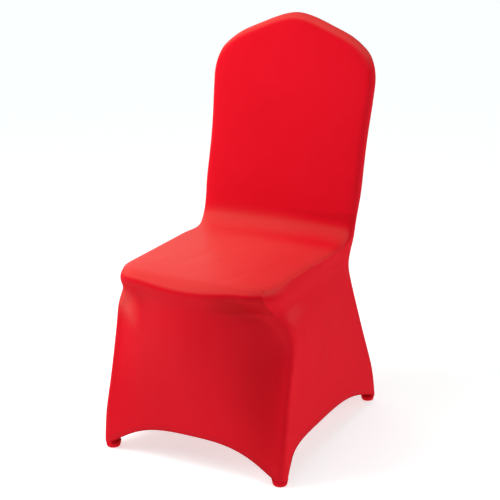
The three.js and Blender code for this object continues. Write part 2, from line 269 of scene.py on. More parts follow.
@dataclass(frozen=True)
class Fold:
    """A soft trough or ridge that fades out at both ends; the depth is below zero for a trough.

    As a mark of painted light it changes the cloth's colour and not its shape. The depth is then
    a share of a paler painted highlight above zero, and of a deeper painted shade below zero.
    """

    start: tuple[float, float, float]
    end: tuple[float, float, float]
    width: float
    depth: float
    facing: Facing
    sway: float = 0.0

    def rise(self, point: Vector) -> float:
        """How far the fold lifts the cloth at a point.

        Args:
            point: The point on the cloth.

        Returns:
            The lift in metres, or for a mark of painted light the share of its painted tone.
        """
        start = Vector(self.start)
        run = Vector(self.end) - start
        share = (point - start).dot(run) / run.length_squared
        if not 0.0 < share < 1.0:
            return 0.0
        axis = self.facing.value
        out = Vector((0.0, 0.0, 0.0))
        out[axis] = 1.0
        bend = run.cross(out).normalized() * (self.sway * math.sin(math.pi * share))
        off = point - (start + run * share + bend)
        if abs(off[axis]) > FOLD_REACH:
            return 0.0
        off[axis] *= FOLD_REACH_SHARE
        gap = off.length / self.width
        if gap > FOLD_WIDTHS:
            return 0.0
        return self.depth * math.exp(-gap * gap) * math.sin(math.pi * share)


def island_of(start: bmesh.types.BMFace) -> set[bmesh.types.BMFace]:
    """Find the faces that hang together with one face.

    Args:
        start: The face to start from.

    Returns:
        The faces, the first one among them.
    """
    found = {start}
    waiting = [start]
    while waiting:
        face = waiting.pop()
        for edge in face.edges:
            for other in edge.link_faces:
                if other not in found:
                    found.add(other)
                    waiting.append(other)
    return found


def diagonals_of(grid: bmesh.types.BMesh) -> list[bmesh.types.BMEdge]:
    """Find the diagonals of a grid whose cells are all halved the same way.

    Two triangles that share an edge make a rhombus of the grid, whose opposite edges run the same
    way. So the way of every edge follows from a corner of the grid that a single triangle fills.

    Args:
        grid: The grid of triangles.

    Returns:
        The diagonals.
    """
    corner = next(face for face in grid.faces if sum(edge.is_boundary for edge in face.edges) == 2)
    first, second = (edge for edge in corner.edges if edge.is_boundary)
    third = next(edge for edge in corner.edges if not edge.is_boundary)
    ways = {first: 0, second: 1, third: 2}
    seen = {corner}
    waiting = [corner]
    while waiting:
        face = waiting.pop()
        for shared in face.edges:
            for other in shared.link_faces:
                if other in seen:
                    continue
                for edge in other.edges:
                    if edge is shared:
                        continue
                    ways[edge] = next(
                        ways[far]
                        for far in face.edges
                        if far is not shared and not set(far.verts) & set(edge.verts)
                    )
                seen.add(other)
                waiting.append(other)
    return [edge for edge, way in ways.items() if way == 2]


def refined(mesh: bpy.types.Mesh, levels: int) -> bpy.types.Mesh:
    """Round a mesh off with subdivision, the corners of its border and its creased points kept.

    Args:
        mesh: The coarse mesh, which is used up.
        levels: How often each face is divided.

    Returns:
        The fine mesh.
    """
    holder = bpy.data.objects.new("refining", mesh)
    bpy.context.scene.collection.objects.link(holder)
    rounding = holder.modifiers.new("rounding", "SUBSURF")
    rounding.levels = levels
    rounding.render_levels = levels
    rounding.boundary_smooth = "PRESERVE_CORNERS"
    graph = bpy.context.evaluated_depsgraph_get()
    fine = bpy.data.meshes.new_from_object(holder.evaluated_get(graph))
    bpy.data.objects.remove(holder)
    bpy.data.meshes.remove(mesh)
    return fine


def tree_of(points: Sequence[Vector]) -> KDTree:
    """Make a search tree of points.

    Args:
        points: The points.

    Returns:
        The balanced tree.
    """
    tree = KDTree(len(points))
    for index, point in enumerate(points):
        tree.insert(point, index)
    tree.balance()
    return tree


def hand_in(piece: bpy.types.Object, material: bpy.types.Material) -> bpy.types.Object:
    """Dress a piece, shade it smoothly and let it ride with the cover.

    Args:
        piece: The piece.
        material: Its material.

    Returns:
        The same piece.
    """
    piece.data.materials.clear()
    piece.data.materials.append(material)
    for polygon in piece.data.polygons:
        polygon.use_smooth = True
    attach(piece, BODY)
    return piece


def new_piece(name: str, mesh: bpy.types.Mesh) -> bpy.types.Object:
    """Put a mesh into the scene as a piece.

    Args:
        name: The piece's name.
        mesh: Its mesh.

    Returns:
        The piece.
    """
    mesh.name = name
    piece = bpy.data.objects.new(name, mesh)
    bpy.context.scene.collection.objects.link(piece)
    return piece


@dataclass
class PanelSheet:
    """A panel of the cover: the CAD panel's outer face, rounded off, folded and thickened.

    Attributes:
        folds: The folds in its shape.
        painted_light: The folds that paint highlight and shade into its colour, not its shape.
        corner: A border that turns by more than this keeps a sharp corner.
        seam_zone: An edge point nearer than this to a neighbour is on a seam.
        seam_reach: An edge point nearer than this to another panel is joined to it.
        back_foot: The height above which a seam takes the back's deeper shade.
        level: The normal's rise over which the painted highlight on upward-facing knit grows to
            full.
        ridge_ends: The heights at which the leg's ridge starts, is full, fades and ends.
        hem_ramp: Where the hem's rise fades out and over what width, in hem widths.
        fade: How far from a seam the folds reach their full depth.
    """

    name: str
    node: str
    side: Side
    cut: tuple[float, float]
    cut_area: float
    levels: int = 2
    folds: tuple[Fold, ...] = ()
    painted_light: tuple[Fold, ...] = ()
    thickness: float = 1.2 * MILLIMETRE
    border: float = 1.6 * MILLIMETRE
    corner: float = math.radians(35.0)
    facing: float = 0.7
    rim_slack: float = 0.02 * MILLIMETRE
    seam_zone: float = 3.0 * MILLIMETRE
    seam_reach: float = 2.2 * MILLIMETRE
    seam_depth: float = 0.12 * MILLIMETRE
    seam_shade: float = 0.03
    seam_shade_width: float = 1.6 * MILLIMETRE
    back_seam_shade: float = 0.30
    back_foot: float = 0.47
    level: tuple[float, float] = (0.28, 0.62)
    seam_width: float = 1.3 * MILLIMETRE
    ridge: float = 2.4 * MILLIMETRE
    ridge_width: float = 9.0 * MILLIMETRE
    ridge_ends: tuple[float, float, float, float] = (0.03, 0.10, 0.30, 0.37)
    hem_width: float = 12.0 * MILLIMETRE
    hem_rise: float = 0.35 * MILLIMETRE
    hem_ramp: tuple[float, float] = (0.85, 0.3)
    hem_shade: float = 0.75
    hem_shade_width: float = 2.2 * MILLIMETRE
    fade: float = 14.0 * MILLIMETRE
    piece: bpy.types.Object | None = field(default=None, init=False)
    mesh: bpy.types.Mesh | None = field(default=None, init=False)
    edge_points: list[tuple[Vector, Vector]] = field(default_factory=list, init=False)
    hem_line: list[tuple[Vector, Vector, Vector]] = field(default_factory=list, init=False)

    def lay_out(self) -> None:
        """Take the outer face from the CAD panel and refine it."""
        shell = bmesh.new()
        shell.from_mesh(bpy.data.objects[self.node].data)
        bmesh.ops.remove_doubles(shell, verts=shell.verts, dist=WELD)
        rims = {
            face
            for edge in shell.edges
            if abs(edge.calc_length() - CAD_SHEET) < self.rim_slack
            for face in edge.link_faces
        }
        bmesh.ops.delete(shell, geom=list(rims), context="FACES")
        outward = Vector(self.side.value)
        far = max(
            (face for face in shell.faces if face.normal.dot(outward) > self.facing),
            key=lambda face: face.calc_center_median().dot(outward),
        )
        kept = island_of(far)
        spare = [face for face in shell.faces if face not in kept]
        bmesh.ops.delete(shell, geom=spare, context="FACES")
        bmesh.ops.dissolve_edges(shell, edges=diagonals_of(shell), use_verts=False)
        bmesh.ops.inset_region(
            shell,
            faces=shell.faces,
            use_boundary=True,
            use_even_offset=True,
            thickness=self.border,
        )
        kept_sharp = shell.verts.layers.float.new("crease_vert")
        for vert in shell.verts:
            rims_here = [edge for edge in vert.link_edges if edge.is_boundary]
            if len(rims_here) == 2:
                first, second = (edge.other_vert(vert).co - vert.co for edge in rims_here)
                if math.pi - first.angle(second) > self.corner:
                    vert[kept_sharp] = 1.0
        coarse = bpy.data.meshes.new(self.name)
        shell.to_mesh(coarse)
        shell.free()
        self.mesh = refined(coarse, self.levels)
        fine = bmesh.new()
        fine.from_mesh(self.mesh)
        fine.normal_update()
        self.edge_points = [(v.co.copy(), v.normal.copy()) for v in fine.verts if v.is_boundary]
        fine.free()
        LOG.info("%s: %d squares", self.name, len(self.mesh.polygons))

    def shape(
        self, neighbours: Sequence[tuple[Vector, Vector]], rims: Sequence[tuple[Vector, Vector]]
    ) -> None:
        """Draw the seams together, turn the hem and lay the folds.

        Args:
            neighbours: The places and normals along the edges of the other panels.
            rims: The places and normals along the rims of the foot pockets.
        """
        others = tree_of([place for place, _ in neighbours])
        cups = tree_of([place for place, _ in rims])
        cloth = bmesh.new()
        cloth.from_mesh(self.mesh)
        edge = cloth.verts.layers.float.new("edge")
        # Shares of painted highlight and painted shade in the knit's colour
        painted_highlight = cloth.verts.layers.float.new("painted_highlight")
        painted_shade = cloth.verts.layers.float.new("painted_shade")
        cloth.verts.index_update()
        cloth.normal_update()
        seams: list[Vector] = []
        hems: list[Vector] = []
        joined: dict[int, tuple[Vector, Vector]] = {}
        for vert in cloth.verts:
            if not vert.is_boundary:
                continue
            near, index, gap = others.find(vert.co)
            if min(gap, cups.find(vert.co)[2]) < self.seam_zone:
                seams.append(vert.co.copy())
                if gap < self.seam_reach:
                    shared = (vert.normal + neighbours[index][1]).normalized()
                    joined[vert.index] = ((vert.co + near) / 2, shared)
            else:
                hems.append(vert.co.copy())
        seam_tree = tree_of(seams)
        hem_tree = tree_of(hems)
        places: list[tuple[bmesh.types.BMVert, Vector]] = []
        for vert in cloth.verts:
            seam, _, to_seam = seam_tree.find(vert.co)
            to_hem = hem_tree.find(vert.co)[2]
            folded = sum(fold.rise(vert.co) for fold in self.folds)
            lift = self._eased(to_seam / self.fade) * folded
            lift -= self.seam_depth * self._bell(to_seam, self.seam_width)
            lift += self.ridge * self._leg_share(seam.z) * self._bell(to_seam, self.ridge_width)
            lift += self.hem_rise * self._hem_share(to_hem)
            shade = self.back_seam_shade if seam.z > self.back_foot else self.seam_shade
            vert[edge] = max(
                shade * self._bell(to_seam, self.seam_shade_width),
                self.hem_shade * self._bell(to_hem, self.hem_shade_width),
            )
            place, normal = joined.get(vert.index, (vert.co, vert.normal))
            places.append((vert, place + normal * lift))
        for vert, place in places:
            vert.co = place
        self._map_weave(cloth)
        cloth.normal_update()
        # Painted highlight on upward-facing cloth, plus the marks of painted highlight and painted
        # shade
        low, high = self.level
        for vert in cloth.verts:
            # Marks above zero paint a highlight, marks below zero paint a shade
            painted_share = sum(painted_mark.rise(vert.co) for painted_mark in self.painted_light)
            level = self._eased((vert.normal.z - low) / (high - low))
            vert[painted_highlight] = min(1.0, max(0.0, level + painted_share))
            vert[painted_shade] = min(1.0, max(0.0, -level - painted_share))
        for rim in cloth.edges:
            rim.smooth = not rim.is_boundary
        self.hem_line = self._hem_points(cloth, hem_tree, seam_tree)
        cloth.to_mesh(self.mesh)
        cloth.free()

    def border_places(self) -> list[Vector]:
        """List the places along the border of the shaped panel.

        Returns:
            The places.
        """
        cloth = bmesh.new()
        cloth.from_mesh(self.mesh)
        places = [vert.co.copy() for vert in cloth.verts if vert.is_boundary]
        cloth.free()
        return places

    def _leg_share(self, height: float) -> float:
        """How much of the leg's ridge there is along a seam at a height."""
        foot, leg, knee, seat = self.ridge_ends
        above_foot = self._eased((height - foot) / (leg - foot))
        return above_foot * self._eased((seat - height) / (seat - knee))

    def _hem_share(self, distance: float) -> float:
        """How much of the doubled hem's rise there is at a distance from the edge."""
        start, width = (share * self.hem_width for share in self.hem_ramp)
        return 1.0 - self._eased((distance - start) / width)

    @staticmethod
    def _bell(distance: float, width: float) -> float:
        """Turn a distance into a share that falls off smoothly from 1 over a width."""
        return math.exp(-((distance / width) ** 2))

    @staticmethod
    def _eased(share: float) -> float:
        """Turn a share into a smooth step from 0 to 1."""
        held = min(1.0, max(0.0, share))
        return held * held * (3.0 - 2.0 * held)

    def _map_weave(self, cloth: bmesh.types.BMesh) -> None:
        """Lay the panel's weave map, in metres of cloth.

        Args:
            cloth: The panel's bmesh.
        """
        weave = cloth.loops.layers.uv.new("weave")
        for face in cloth.faces:
            for loop in face.loops:
                x, y, z = loop.vert.co
                if self.side is Side.FRONT:
                    loop[weave].uv = (x, y + z)
                elif self.side is Side.REAR:
                    loop[weave].uv = (x, z)
                else:
                    loop[weave].uv = (y, z)

    @staticmethod
    def _hem_points(
        cloth: bmesh.types.BMesh, hems: KDTree, seams: KDTree
    ) -> list[tuple[Vector, Vector, Vector]]:
        """Walk along the hem.

        Args:
            cloth: The panel's bmesh.
            hems: The hem's points.
            seams: The seams' points.

        Returns:
            The place, the outward normal and the direction into the cloth at each hem point.
        """
        free = {
            v
            for v in cloth.verts
            if v.is_boundary and hems.find(v.co)[2] < MILLIMETRE < seams.find(v.co)[2]
        }
        ends = [
            v
            for v in free
            if sum(e.is_boundary and e.other_vert(v) in free for e in v.link_edges) == 1
        ]
        line: list[tuple[Vector, Vector, Vector]] = []
        vert = min(ends, key=lambda v: (v.co.x, v.co.y)) if ends else None
        seen: set[bmesh.types.BMVert] = set()
        while vert is not None:
            seen.add(vert)
            along = [e.other_vert(vert) for e in vert.link_edges if e.is_boundary]
            inside = [e.other_vert(vert) for e in vert.link_edges if not e.is_boundary]
            run = (along[0].co - along[-1].co).normalized()
            inward = sum((v.co - vert.co for v in inside), Vector())
            inward = (inward - run * inward.dot(run)).normalized()
            line.append((vert.co.copy(), vert.normal.copy(), inward))
            ahead = [v for v in along if v in free and v not in seen]
            vert = ahead[0] if ahead else None
        return line

    def finish(self, knit: bpy.types.Material) -> bpy.types.Object:
        """Make the panel a piece with its thickness and its material.

        Args:
            knit: The knit's material.

        Returns:
            The piece.
        """
        self.piece = new_piece(self.name, self.mesh)
        wall = self.piece.modifiers.new("wall", "SOLIDIFY")
        wall.thickness = self.thickness
        wall.offset = -1.0
        wall.use_even_offset = False
        wall.use_rim = True
        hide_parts(self.node)
        return hand_in(self.piece, knit)

    def declare(self, with_pieces: Iterable[bpy.types.Object]) -> None:
        """Args:
            with_pieces: The separate pieces that are sewn on it. Not used.
        """


@dataclass
class Hem:
    """A panel's turned hem: the roll along its edge, the turned-in layer and the stitches.

    Attributes:
        roll_inset: How far the roll's middle lies inside the edge, in radii.
        stitch: Half of a stitch's length, width and height.
        cloth_reach: A stitch is left out where the cloth is further away than this.
    """

    panel: PanelSheet
    roll: float = 0.9 * MILLIMETRE
    roll_inset: float = 0.2
    roll_sides: int = 8
    roll_shade: float = 0.7
    turn: float = 11.0 * MILLIMETRE
    turn_gap: float = 0.35 * MILLIMETRE
    turn_thickness: float = 0.7 * MILLIMETRE
    rows: tuple[float, ...] = (6.5 * MILLIMETRE, 9.5 * MILLIMETRE)
    pitch: float = 3.2 * MILLIMETRE
    stitch: tuple[float, float, float] = (1.1 * MILLIMETRE, 0.28 * MILLIMETRE, 0.22 * MILLIMETRE)
    stitch_sink: float = 0.4
    cloth_reach: float = 6.0 * MILLIMETRE

    def edge_roll(self, knit: bpy.types.Material) -> bpy.types.Object:
        """Make the roll in which the cloth turns under at the edge.

        Args:
            knit: The knit's material.

        Returns:
            The piece.
        """
        shell = bmesh.new()
        previous: list[bmesh.types.BMVert] | None = None
        line = self.panel.hem_line
        rings: list[list[bmesh.types.BMVert]] = []
        for place, normal, inward in line:
            centre = place - normal * (0.5 * self.panel.thickness)
            centre += inward * (self.roll_inset * self.roll)
            run = normal.cross(inward).normalized()
            up = run.cross(normal).normalized()
            turned = Matrix((normal, up, run)).transposed().to_4x4()
            made = bmesh.ops.create_circle(
                shell,
                cap_ends=False,
                segments=self.roll_sides,
                radius=self.roll,
                matrix=Matrix.Translation(centre) @ turned,
            )
            ring = made["verts"]
            rings.append(ring)
            if previous is not None:
                around = [e for v in ring + previous for e in v.link_edges]
                edges = {e for e in around if e.is_wire or e.is_boundary}
                loose = [e for e in edges if all(v in ring or v in previous for v in e.verts)]
                same = [e for e in loose if (e.verts[0] in ring) == (e.verts[1] in ring)]
                bmesh.ops.bridge_loops(shell, edges=same)
            previous = ring
        for ring in (rings[0], rings[-1]):
            bmesh.ops.contextual_create(shell, geom=ring)
        bmesh.ops.recalc_face_normals(shell, faces=shell.faces)
        weave = shell.loops.layers.uv.new("weave")
        edge = shell.verts.layers.float.new("edge")
        for vert in shell.verts:
            vert[edge] = self.roll_shade
        for face in shell.faces:
            for loop in face.loops:
                loop[weave].uv = (loop.vert.co.x + loop.vert.co.y, loop.vert.co.z)
        mesh = bpy.data.meshes.new(self.panel.name)
        shell.to_mesh(mesh)
        shell.free()
        return hand_in(new_piece(f"{self.panel.name}_hem_roll", mesh), knit)

    def turned_layer(self, knit: bpy.types.Material) -> bpy.types.Object:
        """Make the layer of cloth that is turned in behind the hem.

        Args:
            knit: The knit's material.

        Returns:
            The piece.
        """
        hems = tree_of([place for place, _, _ in self.panel.hem_line])
        layer = bmesh.new()
        layer.from_mesh(self.panel.mesh)
        layer.normal_update()
        spare = [
            face
            for face in layer.faces
            if hems.find(face.calc_center_median())[2] > self.turn
        ]
        bmesh.ops.delete(layer, geom=spare, context="FACES")
        depth = self.panel.thickness + self.turn_gap
        moves = [(v, v.co - v.normal * depth) for v in layer.verts]
        for vert, place in moves:
            vert.co = place
        mesh = bpy.data.meshes.new(self.panel.name)
        layer.to_mesh(mesh)
        layer.free()
        piece = new_piece(f"{self.panel.name}_hem_turn", mesh)
        wall = piece.modifiers.new("wall", "SOLIDIFY")
        wall.thickness = self.turn_thickness
        wall.offset = -1.0
        wall.use_rim = True
        return hand_in(piece, knit)

    def stitches(self, thread: bpy.types.Material) -> bpy.types.Object:
        """Sew the rows of stitches that hold the hem.

        Args:
            thread: The thread's material.

        Returns:
            The piece.
        """
        surface = bmesh.new()
        surface.from_mesh(self.panel.mesh)
        cloth = BVHTree.FromBMesh(surface)
        sewn = bmesh.new()
        for row in self.rows:
            left = 0.0
            line = self.panel.hem_line
            for (place, _, inward), (ahead, _, _) in zip(line, line[1:]):
                run = ahead - place
                length = run.length
                while left < length:
                    spot = place + run * (left / length) + inward * row
                    near, normal, _, gap = cloth.find_nearest(spot)
                    if near is not None and gap < self.cloth_reach:
                        self._stitch(sewn, near, normal, run.normalized())
                    left += self.pitch
                left -= length
        surface.free()
        mesh = bpy.data.meshes.new(self.panel.name)
        sewn.to_mesh(mesh)
        sewn.free()
        return hand_in(new_piece(f"{self.panel.name}_hem_stitches", mesh), thread)

    def _stitch(
        self, sewn: bmesh.types.BMesh, place: Vector, normal: Vector, run: Vector
    ) -> None:
        """Add one stitch.

        Args:
            sewn: The bmesh of the stitches.
            place: Where the stitch lies on the cloth.
            normal: The cloth's outward normal there.
            run: The row's direction there.
        """
        along = (run - normal * run.dot(normal)).normalized()
        across = normal.cross(along)
        turned = Matrix((along, across, normal)).transposed().to_4x4()
        half, wide, high = self.stitch
        size = Matrix.Diagonal((half, wide, high, 1.0))
        bmesh.ops.create_uvsphere(
            sewn,
            u_segments=6,
            v_segments=4,
            radius=1.0,
            matrix=Matrix.Translation(place + normal * (self.stitch_sink * high)) @ turned @ size,
        )


@dataclass
class FootPocket:
    """A foot pocket: a small cup of doubled knit that is pulled over a chair's foot.

    Attributes:
        draw: How far the rim may be moved up to the panels.
        rim_band: A point less than this below the top is on the rim.
        rim_outside: A rim point less than this inside the widest one is on its outside.
    """

    node: str
    cut: tuple[float, float]
    draw: float = 8.0 * MILLIMETRE
    rim_band: float = 0.1 * MILLIMETRE
    rim_outside: float = 1.0 * MILLIMETRE
    shade: float = 0.03
    shade_width: float = 1.6 * MILLIMETRE
    weave_slant: float = 0.7
    piece: bpy.types.Object | None = field(default=None, init=False)
    mesh: bpy.types.Mesh | None = field(default=None, init=False)
    edge_points: list[tuple[Vector, Vector]] = field(default_factory=list, init=False)

    def lay_out(self) -> None:
        """Take the cup from the CAD pocket, its triangles joined to squares."""
        cup = bmesh.new()
        cup.from_mesh(bpy.data.objects[self.node].data)
        bmesh.ops.remove_doubles(cup, verts=cup.verts, dist=WELD)
        bmesh.ops.join_triangles(
            cup,
            faces=cup.faces,
            angle_face_threshold=math.radians(10),
            angle_shape_threshold=math.pi,
            topology_influence=1.0,
        )
        cup.normal_update()
        top = max(v.co.z for v in cup.verts)
        self.edge_points = [
            (v.co.copy(), v.normal.copy()) for v in cup.verts if v.co.z > top - self.rim_band
        ]
        weave = cup.loops.layers.uv.new("weave")
        edge = cup.verts.layers.float.new("edge")
        for vert in cup.verts:
            vert[edge] = self.shade * math.exp(-(((top - vert.co.z) / self.shade_width) ** 2))
        for face in cup.faces:
            for loop in face.loops:
                x, y, z = loop.vert.co
                loop[weave].uv = (x + self.weave_slant * y, z + self.weave_slant * y)
        self.mesh = bpy.data.meshes.new(self.node)
        cup.to_mesh(self.mesh)
        cup.free()

    def shape(self, edges: Sequence[Vector]) -> None:
        """Draw the outside of the pocket's rim up to the panels above it.

        Args:
            edges: The places along the edges of the shaped panels.
        """
        above = tree_of(edges)
        top = max(vert.co.z for vert in self.mesh.vertices)
        rim = [vert for vert in self.mesh.vertices if vert.co.z > top - self.rim_band]
        middle = sum((vert.co for vert in rim), Vector()) / len(rim)
        reach = max((vert.co - middle).length for vert in rim)
        for vert in rim:
            near, _, gap = above.find(vert.co)
            if gap < self.draw and (vert.co - middle).length > reach - self.rim_outside:
                vert.co = near

    def finish(self, knit: bpy.types.Material) -> bpy.types.Object:
        """Make the pocket a piece.

        Args:
            knit: The knit's material.

        Returns:
            The piece.
        """
        self.piece = new_piece(self.node.replace("foot_pocket", "pocket_cloth"), self.mesh)
        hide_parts(self.node)
        return hand_in(self.piece, knit)

    def declare(self) -> None:
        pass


@dataclass
class Studio:
    """A white floor, soft lights and the camera at the photograph's angle.

    Angles are in degrees and lengths in metres. The lens and the sensor are in millimetres.
    """

    azimuth: float = 26.6573
    elevation: float = 16.7519
    distance: float = 2.6581
    lens: float = 85.66
    sensor: float = 36.0
    far_clip: float = 200.0
    aim_right: float = 0.03483
    aim_height: float = 0.43877
    rear_shift: float = -0.0528
    floor_half: float = 40.0
    floor_colour: tuple[float, float, float] = (0.68, 0.71, 0.71)
    floor_glow: tuple[float, float, float] = (0.95, 1.0, 1.0)
    floor_glow_strength: float = 0.63
    lamp_distance: float = 4.0
    lamp_aim_height: float = 0.55

    def floor(self) -> None:
        """Lay the white floor."""
        shell = bmesh.new()
        bmesh.ops.create_grid(shell, x_segments=1, y_segments=1, size=self.floor_half)
        mesh = bpy.data.meshes.new("floor")
        shell.to_mesh(mesh)
        shell.free()
        floor = bpy.data.objects.new("floor", mesh)
        bpy.context.scene.collection.objects.link(floor)
        material = bpy.data.materials.new("studio_white")
        material.use_nodes = True
        paint = material.node_tree.nodes["Principled BSDF"]
        paint.inputs["Base Color"].default_value = (*self.floor_colour, 1.0)
        paint.inputs["Emission Color"].default_value = (*self.floor_glow, 1.0)
        paint.inputs["Emission Strength"].default_value = self.floor_glow_strength
        paint.inputs["Roughness"].default_value = 1.0
        paint.inputs["Specular IOR Level"].default_value = 0.0
        mesh.materials.append(material)
        floor.visible_glossy = False

    def sky(self, strength: float) -> None:
        """Fill the room with even white light.

        Args:
            strength: The light's strength, 0 for a room that only the lamps light.
        """
        world = bpy.data.worlds.new("studio_air")
        world.use_nodes = True
        air = world.node_tree.nodes["Background"]
        air.inputs["Color"].default_value = (1.0, 1.0, 1.0, 1.0)
        air.inputs["Strength"].default_value = strength
        bpy.context.scene.world = world

    def sun(
        self,
        name: str,
        towards: Sequence[float],
        strength: float,
        softness: float,
        tint: tuple[float, float, float] = (1.0, 1.0, 1.0),
        gloss: bool = False,
    ) -> None:
        """Hang a large soft light.

        Args:
            name: The light's name.
            towards: The way from the object to the light.
            strength: The light's strength.
            softness: How wide the light looks, in degrees.
            tint: The light's colour.
            gloss: Whether the light shows in the cloth's gloss.
        """
        lamp = bpy.data.lights.new(name, "SUN")
        lamp.energy = strength
        lamp.color = tint
        lamp.angle = math.radians(softness)
        light = bpy.data.objects.new(name, lamp)
        light.rotation_euler = Vector(towards).to_track_quat("Z", "Y").to_euler()
        light.location = Vector(towards).normalized() * self.lamp_distance
        light.visible_glossy = gloss
        bpy.context.scene.collection.objects.link(light)

    def softbox(self, name: str, place: Sequence[float], strength: float, size: float) -> None:
        """Stand a soft light near the object.

        Args:
            name: The light's name.
            place: Where it stands.
            strength: The light's strength in watts.
            size: Its width in metres.
        """
        lamp = bpy.data.lights.new(name, "AREA")
        lamp.energy = strength
        lamp.size = size
        light = bpy.data.objects.new(name, lamp)
        light.location = place
        away = Vector(place) - Vector((0.0, 0.0, self.lamp_aim_height))
        light.rotation_euler = away.to_track_quat("Z", "Y").to_euler()
        light.visible_glossy = False
        bpy.context.scene.collection.objects.link(light)

    def camera(self) -> None:
        """Stand the camera where the photograph was taken from."""
        turn, rise = math.radians(self.azimuth), math.radians(self.elevation)
        aim = Vector(
            (
                self.aim_right * math.cos(turn),
                self.aim_right * math.sin(turn) + self.rear_shift,
                self.aim_height,
            )
        )
        back = Vector(
            (
                math.sin(turn) * math.cos(rise),
                -math.cos(turn) * math.cos(rise),
                math.sin(rise),
            )
        )
        view = bpy.data.cameras.new("camera")
        view.lens = self.lens
        view.sensor_width = self.sensor
        view.clip_end = self.far_clip
        camera = bpy.data.objects.new("camera", view)
        camera.location = aim + back * self.distance
        camera.rotation_euler = (math.pi / 2 - rise, 0.0, turn)
        bpy.context.scene.collection.objects.link(camera)
        bpy.context.scene.camera = camera

    def set_up(self) -> None:
        """Set up the whole studio."""
        self.floor()
        self.sky(0.0)
        self.sun("overhead", (0.0, -0.03, 1.0), 0.67, 50.0)
        self.sun("key", (-0.25, -0.43, 0.87), 0.26, 50.0)
        self.sun("right", (0.87, 0.0, 0.50), 0.42, 50.0)
        self.sun("side", (0.92, 0.33, 0.21), 0.43, 30.0)
        self.sun("rear", (0.74, 0.62, 0.26), 0.75, 50.0)
        self.sun("gloss", (-0.77, 0.54, 0.34), 0.85, 60.0, (1.0, 0.97, 0.88), gloss=True)
        self.softbox("left", (-1.25, -1.15, 1.45), 12.5, 0.9)
        self.softbox("high", (-1.00, -0.60, 1.90), 16.4, 0.9)
        self.camera()
        bpy.context.scene.view_settings.view_transform = "Standard"


UP, ENDWAYS, SIDEWAYS = Facing.UP, Facing.ENDWAYS, Facing.SIDEWAYS

# Soft folds over the seat, from its front edge towards its rear corners, and along its rear
SEAT_FOLDS = (
    Fold((-0.078, -0.200, 0.435), (-0.048, -0.030, 0.435), 0.014, -0.0009, UP, 0.010),
    Fold((-0.130, -0.215, 0.434), (-0.105, -0.110, 0.434), 0.013, 0.0007, UP),
    Fold((-0.015, -0.185, 0.435), (0.020, -0.020, 0.435), 0.012, 0.0009, UP, -0.008),
    Fold((0.062, -0.268, 0.430), (0.115, -0.140, 0.434), 0.012, -0.0010, UP),
    Fold((0.096, -0.215, 0.434), (0.102, -0.010, 0.435), 0.013, 0.0010, UP, 0.009),
    Fold((0.020, -0.250, 0.433), (0.070, -0.120, 0.435), 0.010, 0.0006, UP),
    Fold((-0.120, 0.020, 0.435), (-0.010, 0.060, 0.436), 0.016, -0.0007, UP),
    Fold((-0.165, 0.120, 0.440), (-0.060, 0.128, 0.442), 0.012, -0.0016, UP),
    Fold((-0.060, 0.128, 0.442), (0.130, 0.110, 0.440), 0.014, -0.0009, UP),
)

# The tuck under the seat's front corners, the pull below it, and soft uneven runs down the apron
APRON_FOLDS = (
    Fold((-0.185, -0.225, 0.385), (-0.085, -0.268, 0.338), 0.008, -0.0034, ENDWAYS, 0.004),
    Fold((-0.215, -0.200, 0.352), (-0.105, -0.262, 0.290), 0.018, 0.0046, ENDWAYS),
    Fold((-0.170, -0.245, 0.400), (-0.080, -0.275, 0.386), 0.008, -0.0022, ENDWAYS),
    Fold((0.080, -0.280, 0.402), (0.180, -0.250, 0.396), 0.008, -0.0024, ENDWAYS),
    Fold((0.205, -0.215, 0.380), (0.090, -0.268, 0.345), 0.012, -0.0018, ENDWAYS, -0.004),
    Fold((0.215, -0.200, 0.345), (0.140, -0.255, 0.290), 0.020, 0.0016, ENDWAYS),
    Fold((-0.036, -0.284, 0.402), (-0.060, -0.270, 0.200), 0.013, -0.0007, ENDWAYS, 0.006),
    Fold((-0.005, -0.284, 0.400), (-0.012, -0.272, 0.230), 0.014, 0.0006, ENDWAYS),
    Fold((0.062, -0.276, 0.398), (0.048, -0.270, 0.170), 0.015, -0.0007, ENDWAYS, -0.005),
    Fold((0.120, -0.252, 0.385), (0.108, -0.261, 0.150), 0.018, 0.0008, ENDWAYS),
    Fold((-0.150, -0.240, 0.260), (-0.165, -0.235, 0.080), 0.022, -0.0007, ENDWAYS),
    Fold((0.020, -0.270, 0.220), (0.130, -0.255, 0.090), 0.022, 0.0006, ENDWAYS),
)

# Painted light on the seat and the apron: a paler painted highlight below the seat's front left
# corner; painted shade towards the seat's right and rear, under its front lip and down the apron
FRONT_PAINTED_LIGHT = (
    Fold((-0.240, -0.205, 0.400), (-0.135, -0.240, 0.295), 0.028, 1.20, ENDWAYS),
    Fold((0.150, -0.420, 0.430), (0.150, 0.300, 0.430), 0.110, -0.45, UP),
    Fold((-0.250, 0.100, 0.430), (0.450, 0.095, 0.430), 0.040, -0.55, UP),
    Fold((0.145, -0.255, 0.450), (0.185, -0.235, -0.060), 0.056, -0.50, ENDWAYS),
    Fold((0.040, -0.270, 0.395), (0.188, -0.250, 0.378), 0.024, -0.55, ENDWAYS),
    Fold((-0.080, -0.265, 0.500), (-0.100, -0.250, -0.050), 0.090, -0.20, ENDWAYS),
)

# The soft unevenness of the back's front
BACK_FOLDS = (
    Fold((-0.150, 0.180, 0.500), (0.020, 0.215, 0.640), 0.030, 0.0007, ENDWAYS, 0.012),
    Fold((0.170, 0.190, 0.520), (0.060, 0.230, 0.700), 0.026, -0.0007, ENDWAYS),
    Fold((-0.120, 0.220, 0.640), (0.090, 0.255, 0.800), 0.034, -0.0006, ENDWAYS, -0.015),
    Fold((0.150, 0.235, 0.720), (0.020, 0.270, 0.880), 0.028, 0.0006, ENDWAYS),
)

